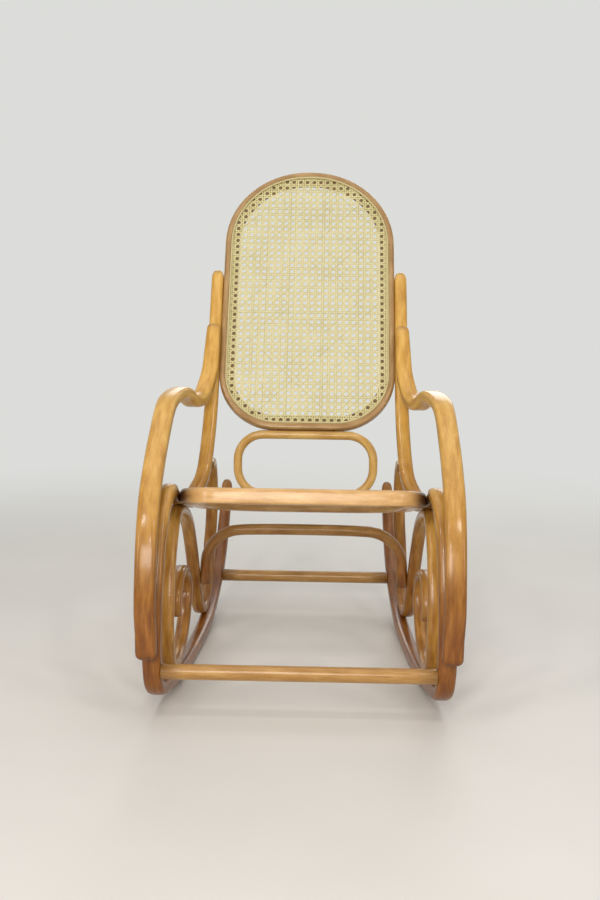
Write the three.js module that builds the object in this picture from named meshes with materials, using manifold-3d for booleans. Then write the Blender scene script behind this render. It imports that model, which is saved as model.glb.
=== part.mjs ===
// Bentwood rocking chair with a woven cane seat and back.
// Units are millimetres, +Z is up, and the sitter faces -Y.
// Every wooden piece is a bar that was steamed and bent, so most pieces are a section swept along a curve.
import * as THREE from 'three';
import { mergeVertices } from 'three/addons/utils/BufferGeometryUtils.js';
import Module from 'manifold-3d';

const wasm = await Module();
wasm.setup();

// Fit between pieces
const fitGap = 0.3;
const endFit = 1;
const cutOverrun = 2;
const weldTolerance = 1e-5;

// How finely a swept bar follows its curve
const finestStep = 4;
const bendTurn = THREE.MathUtils.degToRad(11);
const barStep = 70;
const lineSteps = 600;

// Side frames: half spans in front, in the middle and at the rear of each side's pieces
const frontHalfSpan = 263;
const railHalfSpan = 237;
const rockerHalfSpan = 228;
const tipHalfSpan = 205;
const scrollFrontHalfSpan = 248;
const scrollHalfSpan = 241;
const scrollRearHalfSpan = 225;
const rockRadius = 1400;
const rockLowY = -57;
const frontReach = 430;
const rearReach = 456;
const rearTipRise = 276;
const barWidth = 30;
const barThickness = 26;
const frontBarWidth = 34;
const tipBarWidth = 26;
const barEndRound = 9;
const soleFlat = 0.5;
const railRear = -50;
const railFront = -235;
const rearRiseStart = 90;
const arcSteps = 8;

// Seat: a steam-bent rim with a rebate, tilted back
const seatFrontReach = 305;
const seatFrontHeight = 397;
const seatTilt = THREE.MathUtils.degToRad(15);
const seatDepth = 400;
const seatRimHeight = 30;
const seatRimWidth = 34;
const seatLedgeWidth = 20;
const seatFrontRadius = 78;
const seatRearRadius = 150;

// Back: a rim of the same kind, leaned back
const backFootY = 85;
const backFootHeight = 463;
const backLean = THREE.MathUtils.degToRad(28.8);
const backWidth = 394;
const backLength = 657;
const backTopRadius = 192;
const backFootRadius = 132;
const backRimThickness = 20;
const backRimWidth = 32;
const backLedgeWidth = 19;
const postTopAlong = 392;
const postLeaveAlong = 150;
const postWidth = 28;
const kneeDrop = 112;
const rimEdgeShare = 0.22;

// Woven cane, with its openings drawn coarser than the weave, and the spline that locks it in the rebate
const caneThickness = 1.8;
const caneOpening = 26;
const canePitch = 40;
const caneBorder = 1;
const splineWidth = 4.2;
const splineHeight = 3;
const splineCrownShares = [0.55, 1, 0.8];

// Arms
const armWidth = 39;
const armTopWidth = 29;
const armSpliceWidth = 35;
const armSpliceSpread = 4;
const armFootWidth = 37;
const armThickness = 25;
const armReach = 456;
const armCrestHeight = 558;
const armFootHeight = 133;
const armSpliceAlong = 240;
const armLeaveAlong = 118;
const armFlare = 27;
const armFootStep = 6;
const armEndRound = 7;

// Scrolls: the side loops that carry the seat on the rockers
const scrollFront = 345;
const scrollRear = 203;
const scrollWidth = 27;
const scrollThickness = 20;
const hookDrop = 80;
const hookInset = 24;
const hookRows = 6;

// Cross pieces
const stretcherRadius = 14;
const frontStretcherHeight = 99;
const rearStretcherY = 262;
const archRadius = 12;
const archY = 24;
const archFootHeight = 128;
const archTopHeight = 251;
const archBendRadius = 80;
const archBendSteps = 6;
const hoopWidth = 318;
const hoopRadius = 9.5;
const hoopBendRadius = 66;

// Wood screws: their size, how deep they bite past the piece they hold, and where they are
const screwShankRadius = 2.2;
const screwHeadRadius = 4.4;
const screwHeadHeight = 3;
const screwTipLength = 5;
const screwSink = 0.6;
const screwSides = 6;
const bite = 15;
const longBite = 24;
const hoopBite = 11;
const postScrewShares = [0.52, 0.93];
const armScrewAlong = 212;
const armFootScrewRise = 20;
const seatScrewYs = [-205, -95];
const railScrewY = -155;
const scrollScrewYs = [-245, 102];
const archScrewRise = 20;
const hoopScrewX = 62;

const materials = {
  beech: new THREE.MeshStandardMaterial({ color: 0xc98f4a, roughness: 0.32, metalness: 0 }),
  rim: new THREE.MeshStandardMaterial({ color: 0xc99a63, roughness: 0.36, metalness: 0 }),
  cane: new THREE.MeshStandardMaterial({ color: 0xe3d6a4, roughness: 0.6, metalness: 0 }),
  spline: new THREE.MeshStandardMaterial({ color: 0xd8c48c, roughness: 0.5, metalness: 0 }),
  screw: new THREE.MeshStandardMaterial({ color: 0x6e6150, roughness: 0.4, metalness: 0.9 }),
};

const UP = new THREE.Vector3(0, 0, 1);
const REAR = new THREE.Vector3(0, 1, 0);
const RIGHT = new THREE.Vector3(1, 0, 0);
const vec = (x, y, z) => new THREE.Vector3(x, y, z);
const lerp = THREE.MathUtils.lerp;

// Where things are

// Half spans over the depth of the chair: the side rails are straight, the rockers and scrolls bow.
const toeIn = (frontHalfSpan - railHalfSpan) / frontReach;
const railSpan = (y) => railHalfSpan - toeIn * y;
const bowed = (frontY, frontSpan, midSpan, rearY, rearSpan) => (y) => {
  const frontSlope = (frontSpan - midSpan) / frontY;
  const rearSlope = (rearSpan - midSpan) / rearY;
  const bend = (rearSlope - frontSlope) / (rearY - frontY);
  return midSpan + (frontSlope - bend * frontY) * y + bend * y * y;
};
const rockerSpan = bowed(-frontReach, frontHalfSpan, rockerHalfSpan, rearReach, tipHalfSpan);
const scrollSpan = bowed(-scrollFront, scrollFrontHalfSpan, scrollHalfSpan, scrollRear, scrollRearHalfSpan);

// Height of the rocker bar's centre along its rolling arc.
const rockerHeight = (y) =>
  barThickness / 2 + rockRadius - Math.sqrt(rockRadius ** 2 - (y - rockLowY) ** 2);

// Height of the side rail's centre: it runs beside the middle of the seat rim.
const railHeight = (y) => seatFrontHeight - Math.tan(seatTilt) * (y + seatFrontReach);

// A frame of reference on the seat: along runs from the rear edge forwards, over is off the top face.
const seatAlong = vec(0, -Math.cos(seatTilt), Math.sin(seatTilt));
const seatOver = vec(0, Math.sin(seatTilt), Math.cos(seatTilt));
const seatRear = vec(0, -seatFrontReach, seatFrontHeight).addScaledVector(seatAlong, -seatDepth);
const seatPoint = (x, along, over) =>
  seatRear.clone().addScaledVector(seatAlong, along).addScaledVector(seatOver, over).setX(x);

// A frame of reference on the back: along runs up from the foot, over is off the front face.
const backAlong = vec(0, Math.sin(backLean), Math.cos(backLean));
const backOver = vec(0, -Math.cos(backLean), Math.sin(backLean));
const backFoot = vec(0, backFootY, backFootHeight);
const backPoint = (x, along, over) =>
  backFoot.clone().addScaledVector(backAlong, along).addScaledVector(backOver, over).setX(x);

// Solids

const bodyFrom = (positions, indices) => {
  const geometry = new THREE.BufferGeometry();
  geometry.setAttribute('position', new THREE.Float32BufferAttribute(positions, 3));
  geometry.setIndex(indices);
  return geometry;
};

const toSolid = (geometry) => {
  const bare = geometry.clone();
  bare.deleteAttribute('normal');
  bare.deleteAttribute('uv');
  const merged = mergeVertices(bare, weldTolerance);
  return new wasm.Manifold(new wasm.Mesh({
    numProp: 3,
    vertProperties: new Float32Array(merged.attributes.position.array),
    triVerts: new Uint32Array(merged.index.array),
  }));
};

const toGeometry = (solid) => {
  const mesh = solid.getMesh();
  const geometry = bodyFrom(Array.from(mesh.vertProperties), Array.from(mesh.triVerts));
  geometry.computeVertexNormals();
  return geometry;
};

// Corners of a rounded section, counter-clockwise, as [across, through] shares of its half sizes.
const roundedSection = (cornerShare, cornerSteps) => {
  const corners = [];
  for (let quarter = 0; quarter < 4; quarter += 1) {
    const start = (quarter * Math.PI) / 2;
    const middle = start + Math.PI / 4;
    const signAcross = Math.sign(Math.cos(middle));
    const signThrough = Math.sign(Math.sin(middle));
    for (let step = 0; step <= cornerSteps; step += 1) {
      const angle = start + (step / cornerSteps) * (Math.PI / 2);
      corners.push([
        signAcross * (1 - cornerShare) + cornerShare * Math.cos(angle),
        signThrough * (1 - cornerShare) + cornerShare * Math.sin(angle),
      ]);
    }
  }
  return corners;
};

const roundSection = (sides) =>
  Array.from({ length: sides }, (_, index) => {
    const angle = ((index + 0.5) / sides) * 2 * Math.PI;
    return [Math.cos(angle), Math.sin(angle)];
  });

const softCornerShare = 0.55;
const softSection = roundedSection(softCornerShare, 1);

// A rounded end: shares of its length, and how much of the section is left there.
const endRoundShares = [
  [0, 0.6],
  [0.35, 0.88],
  [1, 1],
];

// Walks a curve and keeps a place wherever it has turned far enough or run long enough.
const placesAlong = (curve, endRound) => {
  const length = curve.getLength();
  const steps = Math.ceil(length / finestStep);
  const rounding = endRound > 0 ? endRoundShares : [[0, 1]];
  const placeAt = (distance, keep) => {
    const share = distance / length;
    return { share, keep, at: curve.getPointAt(share), along: curve.getTangentAt(share) };
  };
  const places = rounding.map(([share, keep]) => placeAt(endRound * share, keep));
  let kept = places[places.length - 1];
  for (let index = 1; index < steps; index += 1) {
    const distance = (index / steps) * length;
    const place = placeAt(distance, 1);
    const due = kept.along.angleTo(place.along) > bendTurn || kept.at.distanceTo(place.at) > barStep;
    if (due && distance > endRound + finestStep && distance < length - endRound - finestStep) {
      places.push(place);
      kept = place;
    }
  }
  const ending = rounding.map(([share, keep]) => placeAt(length - endRound * share, keep));
  return [...places, ...ending.reverse()];
};

// A bar whose section keeps one side facing `sideways` while it follows the curve.
const sweepBar = (curve, section, sideways, halfSizes, endRound = 0) => {
  const positions = [];
  const indices = [];
  const places = placesAlong(curve, endRound);
  const count = section.length;
  places.forEach((place) => {
    const across = sideways.clone().addScaledVector(place.along, -sideways.dot(place.along)).normalize();
    const through = place.along.clone().cross(across);
    const [halfAcross, halfThrough] = halfSizes(place.share);
    section.forEach(([a, t]) => {
      const point = place.at.clone().addScaledVector(across, a * halfAcross * place.keep);
      positions.push(...point.addScaledVector(through, t * halfThrough * place.keep).toArray());
    });
  });
  for (let ring = 0; ring < places.length - 1; ring += 1) {
    for (let corner = 0; corner < count; corner += 1) {
      const next = (corner + 1) % count;
      const a = ring * count + corner;
      const b = ring * count + next;
      indices.push(a, b, a + count, b, b + count, a + count);
    }
  }
  const last = (places.length - 1) * count;
  for (let corner = 1; corner < count - 1; corner += 1) {
    indices.push(0, corner + 1, corner);
    indices.push(last, last + corner, last + corner + 1);
  }
  return bodyFrom(positions, indices);
};

// A closed rim: each section corner is an inset from the outline and a height over its plane.
const sweepRim = (outlineAt, section, toChair) => {
  const positions = [];
  const indices = [];
  const loops = section.map(([inset, over]) => outlineAt(inset).map((p) => toChair(p.x, p.y, over)));
  const count = section.length;
  const length = loops[0].length;
  for (let index = 0; index < length; index += 1) {
    loops.forEach((loop) => positions.push(...loop[index].toArray()));
  }
  for (let index = 0; index < length; index += 1) {
    const after = (index + 1) % length;
    for (let corner = 0; corner < count; corner += 1) {
      const next = (corner + 1) % count;
      const a = index * count + corner;
      const b = index * count + next;
      const c = after * count + corner;
      const d = after * count + next;
      indices.push(a, b, c, b, d, c);
    }
  }
  return bodyFrom(positions, indices);
};

// A flat sheet that fills an outline between two heights over its plane.
const sheetInside = (outline, low, high, toChair) => {
  const positions = [];
  const indices = [];
  const count = outline.length;
  outline.forEach((p) => positions.push(...toChair(p.x, p.y, high).toArray()));
  outline.forEach((p) => positions.push(...toChair(p.x, p.y, low).toArray()));
  THREE.ShapeUtils.triangulateShape(outline, []).forEach(([a, b, c]) => {
    indices.push(a, b, c);
    indices.push(count + a, count + c, count + b);
  });
  for (let index = 0; index < count; index += 1) {
    const next = (index + 1) % count;
    indices.push(index, count + index, next, next, count + index, count + next);
  }
  return bodyFrom(positions, indices);
};

// Square openings in even rows, wherever one fits inside a convex, counter-clockwise border.
const openingsInside = (border) => {
  const inside = (point) => border.every((start, index) => {
    const end = border[(index + 1) % border.length];
    return end.clone().sub(start).cross(point.clone().sub(start)) >= 0;
  });
  const box = new THREE.Box2().setFromPoints(border);
  const middle = box.getCenter(new THREE.Vector2());
  const size = box.getSize(new THREE.Vector2());
  const columns = Math.floor((size.x - caneOpening) / canePitch) + 1;
  const rows = Math.floor((size.y - caneOpening) / canePitch) + 1;
  const half = caneOpening / 2;
  const openings = [];
  for (let row = 0; row < rows; row += 1) {
    for (let column = 0; column < columns; column += 1) {
      const x = middle.x + (column - (columns - 1) / 2) * canePitch;
      const y = middle.y + (row - (rows - 1) / 2) * canePitch;
      const square = [[-half, -half], [half, -half], [half, half], [-half, half]];
      const opening = square.map(([across, up]) => new THREE.Vector2(x + across, y + up));
      if (opening.every(inside)) {
        openings.push(opening);
      }
    }
  }
  return openings;
};

// Outline of a frame with two bend radii, counter-clockwise, drawn in by an inset.
const frameOutline = ({ halfWidth, length, footRadius, topRadius, cornerSteps }) => (inset) => {
  const points = [];
  const corner = (centreX, centreY, radius, startAngle) => {
    for (let step = 0; step <= cornerSteps; step += 1) {
      const angle = startAngle + (step / cornerSteps) * (Math.PI / 2);
      points.push(new THREE.Vector2(
        centreX + (radius - inset) * Math.cos(angle),
        centreY + (radius - inset) * Math.sin(angle),
      ));
    }
  };
  corner(halfWidth - topRadius, length - topRadius, topRadius, 0);
  corner(topRadius - halfWidth, length - topRadius, topRadius, Math.PI / 2);
  corner(footRadius - halfWidth, footRadius, footRadius, Math.PI);
  corner(halfWidth - footRadius, footRadius, footRadius, 1.5 * Math.PI);
  return points;
};

// Lathe profile of a countersunk wood screw whose head lies at the origin and whose tip points down.
const screwProfile = (length, grow) => [
  new THREE.Vector2(0, grow > 0 ? cutOverrun : 0),
  new THREE.Vector2(screwHeadRadius + grow, grow > 0 ? cutOverrun : 0),
  new THREE.Vector2(screwHeadRadius + grow, -grow),
  new THREE.Vector2(screwShankRadius + grow, -screwHeadHeight - grow),
  new THREE.Vector2(screwShankRadius + grow, screwTipLength - length - grow),
  new THREE.Vector2(0, -length - grow),
];

const placeScrew = (geometry, head, direction) => {
  const turn = new THREE.Quaternion().setFromUnitVectors(vec(0, -1, 0), direction.clone().normalize());
  geometry.applyQuaternion(turn);
  geometry.translate(head.x, head.y, head.z);
  return geometry;
};

const chair = new THREE.Group();
const pieces = new Map();
const holes = [];

const addPiece = (name, geometry, material) => pieces.set(name, { geometry, material });

// A screw driven from `head` towards `direction` through the named pieces.
const addScrew = (name, head, direction, length, through) => {
  const sunk = head.clone().addScaledVector(direction.clone().normalize(), screwSink);
  const body = new THREE.LatheGeometry(screwProfile(length, 0).reverse(), screwSides);
  const hole = new THREE.LatheGeometry(screwProfile(length, fitGap).reverse(), screwSides);
  addPiece(name, placeScrew(body, sunk, direction), materials.screw);
  const cutter = toSolid(placeScrew(hole, sunk, direction));
  through.forEach((pieceName) => holes.push([pieceName, cutter]));
};

// Side frames

const sides = [['left', -1], ['right', 1]];

// The post stands against the rim of the back, then leaves it and drops to the side rail.
const postX = backWidth / 2 + fitGap + postWidth / 2;

// The knee under the post: shares of the way out to the rail's span at two heights,
// then of the way forward and down to the start of the rail.
const kneeOutShares = [0.1, 0.5];
const kneeForwardShare = 0.45;
const kneeDownShare = 0.8;

// Front limb of the side frame: shares of the front reach and of the seat's front height.
const frontLimbShares = [
  [0.67, 1.01],
  [0.77, 0.975],
  [0.87, 0.865],
  [0.945, 0.7],
  [0.988, 0.52],
  [1, 0.37],
  [0.995, 0.264],
  [0.968, 0.182],
  [0.91, 0.134],
];

// The rocking arc starts at this share of the front reach.
const arcFrontShare = 0.8;

// Rear rise of the rocker: shares of the rear reach, and of the rise from the arc to the tip.
const rearRiseShares = [
  [0.33, 0.055],
  [0.45, 0.125],
  [0.575, 0.225],
  [0.72, 0.4],
  [0.86, 0.64],
  [0.95, 0.85],
  [1, 1],
];

const sideFrameCurve = (side) => {
  const points = [];
  const inRail = (y, z) => points.push(vec(side * railSpan(y), y, z));
  const inRocker = (y, z) => points.push(vec(side * rockerSpan(y), y, z));
  points.push(backPoint(side * postX, postTopAlong, 0));
  points.push(backPoint(side * postX, (postLeaveAlong + postTopAlong) / 2, 0));
  points.push(backPoint(side * postX, postLeaveAlong, 0));
  const [low, knee] = [0, -kneeDrop].map((along, index) => {
    const point = backPoint(0, along, 0);
    return point.setX(side * lerp(postX, railSpan(point.y), kneeOutShares[index]));
  });
  points.push(low, knee);
  inRail(lerp(knee.y, railRear, kneeForwardShare), lerp(knee.z, railHeight(railRear), kneeDownShare));
  [railRear, (railRear + railFront) / 2, railFront].forEach((y) => inRail(y, railHeight(y)));
  frontLimbShares.forEach(([reach, height]) => inRocker(-frontReach * reach, seatFrontHeight * height));
  for (let step = 0; step <= arcSteps; step += 1) {
    const y = lerp(-arcFrontShare * frontReach, rearRiseStart, step / arcSteps);
    inRocker(y, rockerHeight(y));
  }
  const riseFoot = rockerHeight(rearRiseStart);
  rearRiseShares.forEach(([reach, rise]) => inRocker(rearReach * reach, lerp(riseFoot, rearTipRise, rise)));
  return new THREE.CatmullRomCurve3(points, false, 'centripetal');
};

// Where the side frame's line crosses a height or a depth, from the post's top to the rocker's tip.
const sideLine = sideFrameCurve(1).getSpacedPoints(lineSteps);
const crossings = (axis, place) => {
  const found = [];
  for (let index = 1; index < sideLine.length; index += 1) {
    const [before, after] = [sideLine[index - 1], sideLine[index]];
    if ((before[axis] - place) * (after[axis] - place) <= 0) {
      found.push(before.clone().lerp(after, (place - before[axis]) / (after[axis] - before[axis])));
    }
  }
  return found;
};
const [frontStretcherAt] = crossings('z', frontStretcherHeight);
const rearStretcherAt = crossings('y', rearStretcherY).at(-1);

// Half widths of the side bar from the post's top (share 0) to the rocker's tip (share 1).
const barWidthShares = [
  [0, postWidth / 2],
  [0.2, barWidth / 2],
  [0.4, barWidth / 2],
  [0.47, frontBarWidth / 2],
  [0.6, frontBarWidth / 2],
  [0.7, barWidth / 2],
  [0.9, barWidth / 2],
  [1, tipBarWidth / 2],
];
const alongTable = (table, share) => {
  const index = Math.max(1, table.findIndex(([stop]) => stop >= share));
  const [fromShare, from] = table[index - 1];
  const [toShare, to] = table[index];
  return lerp(from, to, (share - fromShare) / (toShare - fromShare));
};

// Arm: shares of the arm's reach and height, and of its outward flare, from the splice to the foot.
const armShares = [
  [-0.193, 0.984, -0.28],
  [-0.136, 0.959, -0.14],
  [-0.07, 0.95, 0.1],
  [-0.011, 0.959, 0.27],
  [0.044, 0.984, 0.46],
  [0.1, 0.998, 0.6],
  [0.165, 1, 0.76],
  [0.307, 0.982, 1],
  [0.548, 0.878, 0.84],
  [0.72, 0.79, 0.63],
  [0.833, 0.718, 0.47],
  [0.93, 0.615, 0.3],
  [0.98, 0.5, 0.23],
  [1, 0.39, 0.22],
];

// The splice on the post's front from its top down, and the straight end above the arm's foot.
const armSpliceShares = [1, 0.55, 0.1];
const armFootShare = 0.12;

const armCurve = (side) => {
  const points = [];
  const offset = barThickness / 2 + fitGap + armThickness / 2;
  armSpliceShares.forEach((share) => {
    const spread = (armTopWidth - postWidth) / 2 + armSpliceSpread * (1 - share);
    points.push(backPoint(side * (postX + spread), lerp(armLeaveAlong, armSpliceAlong, share), offset));
  });
  armShares.forEach(([reach, height, flare]) => {
    const y = -armReach * reach;
    points.push(vec(side * (railSpan(y) + armFlare * flare), y, armCrestHeight * height));
  });
  const footY = -(frontReach + offset);
  const footX = side * (frontHalfSpan + armFootStep);
  points.push(vec(footX, footY, lerp(armFootHeight, armCrestHeight, armFootShare)));
  points.push(vec(footX, footY, armFootHeight));
  return new THREE.CatmullRomCurve3(points, false, 'centripetal');
};

const armWidthShares = [
  [0, armTopWidth / 2],
  [0.1, armSpliceWidth / 2],
  [0.25, armSpliceWidth / 2],
  [0.42, armWidth / 2],
  [0.6, armWidth / 2],
  [1, armFootWidth / 2],
];

// Scroll: from the hook on the post a loop hangs down to the rocker, by shares of the rear reach and of the
// height between rocker and hook.
const scrollLoopShares = [
  [0.45, 0.998],
  [0.64, 0.981],
  [0.828, 0.869],
  [0.951, 0.684],
  [1, 0.492],
  [0.98, 0.31],
  [0.906, 0.142],
  [0.764, 0.044],
  [0.62, 0.005],
  [0.5, 0],
];

// From there it climbs under the rail, falls in front and curls up, by shares of the front or rear reach
// and of the height between rocker and rail.
const scrollShares = [
  [0.4, 0.035],
  [0.29, 0.135],
  [0.197, 0.277],
  [0.099, 0.432],
  [0.01, 0.579],
  [-0.072, 0.75],
  [-0.159, 0.89],
  [-0.29, 0.975],
  [-0.45, 1],
  [-0.57, 0.995],
  [-0.7, 0.925],
  [-0.812, 0.798],
  [-0.922, 0.609],
  [-0.986, 0.411],
  [-1, 0.234],
  [-0.962, 0.095],
  [-0.88, 0.02],
  [-0.76, 0],
  [-0.64, 0.002],
  [-0.507, 0.045],
  [-0.377, 0.135],
  [-0.284, 0.27],
  [-0.238, 0.415],
  [-0.29, 0.53],
  [-0.42, 0.572],
  [-0.565, 0.53],
  [-0.661, 0.42],
  [-0.684, 0.295],
];

const scrollCurve = (side) => {
  const standOff = barThickness / 2 + fitGap + scrollThickness / 2;
  const hook = backPoint(0, -hookDrop, -(barThickness / 2 + fitGap));
  const points = [hook.setX(side * (scrollSpan(hook.y) - hookInset))];
  scrollLoopShares.forEach(([reach, height], index) => {
    const y = scrollRear * reach;
    const inset = hookInset * Math.max(0, 1 - (index + 1) / hookRows);
    points.push(vec(side * (scrollSpan(y) - inset), y, lerp(rockerHeight(y) + standOff, hook.z, height)));
  });
  scrollShares.forEach(([reach, height]) => {
    const y = reach < 0 ? scrollFront * reach : scrollRear * reach;
    const z = lerp(rockerHeight(y) + standOff, railHeight(y) - standOff, height);
    points.push(vec(side * scrollSpan(y), y, z));
  });
  return new THREE.CatmullRomCurve3(points, false, 'centripetal');
};

const barSizes = (table, thickness, grow) => (share) =>
  [alongTable(table, share) + grow, thickness / 2 + grow];

// A piece that lies against a bar is shaped to it, with the fitting gap between them.
const shapedTo = (geometry, neighbours) =>
  toGeometry(neighbours.reduce((solid, neighbour) => solid.subtract(neighbour), toSolid(geometry)));

// The rockers' soles are planed flat where the chair stands at rest.
const soleBlock = new THREE.BoxGeometry(2 * (frontHalfSpan + barWidth), frontReach, barThickness);
soleBlock.translate(0, rockLowY, soleFlat - barThickness / 2);
const soleCut = toSolid(soleBlock);

const clearBars = [];
const clearScrolls = [];

sides.forEach(([name, side]) => {
  const sideFrame = (grow) => {
    const halfSizes = barSizes(barWidthShares, barThickness, grow);
    return sweepBar(sideFrameCurve(side), softSection, RIGHT, halfSizes, barEndRound);
  };
  const clearBar = toSolid(sideFrame(fitGap));
  clearBars.push(clearBar);
  const armSizes = barSizes(armWidthShares, armThickness, 0);
  const scroll = (grow) => {
    const halfSizes = () => [scrollWidth / 2 + grow, scrollThickness / 2 + grow];
    return sweepBar(scrollCurve(side), softSection, RIGHT, halfSizes);
  };
  const arm = sweepBar(armCurve(side), softSection, RIGHT, armSizes, armEndRound);
  clearScrolls.push(toSolid(scroll(fitGap)));
  addPiece(`side_frame_${name}`, shapedTo(sideFrame(0), [soleCut]), materials.beech);
  addPiece(`arm_${name}`, shapedTo(arm, [clearBar]), materials.beech);
  addPiece(`scroll_${name}`, shapedTo(scroll(0), [clearBar]), materials.beech);
});

// Seat

const railGap = barWidth / 2 + fitGap;
const seatMidAlong = seatDepth / 2;
const seatMidY = seatPoint(0, seatMidAlong, 0).y;
const seatHalfWidth = railSpan(seatMidY) - railGap;
const seatTaper = (toeIn * Math.cos(seatTilt)) / seatHalfWidth;
const seatToChair = (x, along, over) => seatPoint(-x * (1 + seatTaper * (along - seatMidAlong)), along, over);
const seatOutline = frameOutline({
  halfWidth: seatHalfWidth,
  length: seatDepth,
  footRadius: seatRearRadius,
  topRadius: seatFrontRadius,
  cornerSteps: 9,
});

// Back

const backOutline = frameOutline({
  halfWidth: backWidth / 2,
  length: backLength,
  footRadius: backFootRadius,
  topRadius: backTopRadius,
  cornerSteps: 11,
});

// Section of a rim with the rebate for the cane on its inner edge, as [inset, over] corners.
const rimSection = (width, thickness, ledgeWidth) => {
  const top = thickness / 2;
  const ledge = top - caneThickness - splineHeight - fitGap;
  const edge = rimEdgeShare * thickness;
  return [
    [0, edge - top],
    [edge, -top],
    [width - edge, -top],
    [width, edge - top],
    [width, ledge],
    [width - ledgeWidth, ledge],
    [width - ledgeWidth, top],
    [edge, top],
    [0, top - edge],
  ];
};

const canedFrame = (name, outline, toChair, width, thickness, ledgeWidth, neighbours) => {
  const wall = width - ledgeWidth + fitGap;
  const ledge = thickness / 2 - caneThickness - splineHeight - fitGap;
  const caneTop = ledge + fitGap + caneThickness;
  const splineLow = caneTop + fitGap;
  const [inner, crown, outer] = splineCrownShares.map((share) => splineLow + share * splineHeight);
  const splineSection = [
    [wall, splineLow],
    [wall + splineWidth, splineLow],
    [wall + splineWidth, inner],
    [wall + splineWidth / 2, crown],
    [wall, outer],
  ];
  const rim = sweepRim(outline, rimSection(width, thickness, ledgeWidth), toChair);
  addPiece(`${name}_frame`, shapedTo(rim, neighbours), materials.rim);
  const sheet = sheetInside(outline(wall), ledge + fitGap, caneTop, toChair);
  const openings = openingsInside(outline(width + caneBorder)).map((opening) =>
    toSolid(sheetInside(opening, ledge + fitGap - cutOverrun, caneTop + cutOverrun, toChair)));
  addPiece(`${name}_cane`, shapedTo(sheet, openings), materials.cane);
  addPiece(`${name}_spline`, sweepRim(outline, splineSection, toChair), materials.spline);
};

canedFrame('seat', seatOutline, seatToChair, seatRimWidth, seatRimHeight, seatLedgeWidth, clearBars);
canedFrame('back', backOutline, backPoint, backRimWidth, backRimThickness, backLedgeWidth, clearBars);

// Hoop between the seat's rear rim and the foot of the back
const hoopFoot = seatPoint(0, seatRimWidth - seatLedgeWidth - screwHeadRadius, seatRimHeight / 2);
const hoopHead = backPoint(0, 0, 0);
const hoopAlong = hoopHead.clone().sub(hoopFoot).normalize();
const hoopOver = RIGHT.clone().cross(hoopAlong);
const footRise = hoopRadius / seatOver.dot(hoopAlong) - hoopRadius + fitGap;
const headDrop = hoopRadius / backAlong.dot(hoopAlong) - hoopRadius + fitGap;
const hoopToChair = (x, along, over) =>
  hoopFoot.clone().addScaledVector(hoopAlong, footRise + along).addScaledVector(hoopOver, over).setX(x);
const hoopOutline = frameOutline({
  halfWidth: hoopWidth / 2,
  length: hoopHead.distanceTo(hoopFoot) - footRise - headDrop,
  footRadius: hoopBendRadius,
  topRadius: hoopBendRadius,
  cornerSteps: 8,
});
const hoopSection = roundSection(8).map(([a, b]) => [hoopRadius * (1 + a), hoopRadius * b]);
addPiece('back_hoop', sweepRim(hoopOutline, hoopSection, hoopToChair), materials.beech);

// Cross pieces: their ends run a little long and are shaped to the side bars.
const stretcher = (name, { x, y, z }, gapHalfWidth) => {
  const half = x - gapHalfWidth + endFit;
  const line = new THREE.LineCurve3(vec(-half, y, z), vec(half, y, z));
  const round = () => [stretcherRadius, stretcherRadius];
  addPiece(name, shapedTo(sweepBar(line, roundSection(12), UP, round), clearBars), materials.beech);
};
stretcher('front_stretcher', frontStretcherAt, frontBarWidth / 2);
stretcher('rear_stretcher', rearStretcherAt, barWidth / 2);

const archLegX = scrollSpan(archY) - scrollWidth / 2 + endFit - archRadius;
const archCurve = () => {
  const points = [];
  const bendX = archLegX - archBendRadius;
  const bendZ = archTopHeight - archBendRadius;
  points.push(vec(-archLegX, archY, archFootHeight));
  for (let step = 0; step <= archBendSteps; step += 1) {
    const angle = Math.PI - (step / archBendSteps) * (Math.PI / 2);
    const x = archBendRadius * Math.cos(angle) - bendX;
    points.push(vec(x, archY, bendZ + archBendRadius * Math.sin(angle)));
  }
  const mirrored = points.map((p) => vec(-p.x, p.y, p.z)).reverse();
  return new THREE.CatmullRomCurve3([...points, ...mirrored], false, 'centripetal');
};
const archHalf = () => [archRadius, archRadius];
const arch = sweepBar(archCurve(), roundSection(10), REAR, archHalf);
addPiece('arch_brace', shapedTo(arch, clearScrolls), materials.beech);

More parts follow.
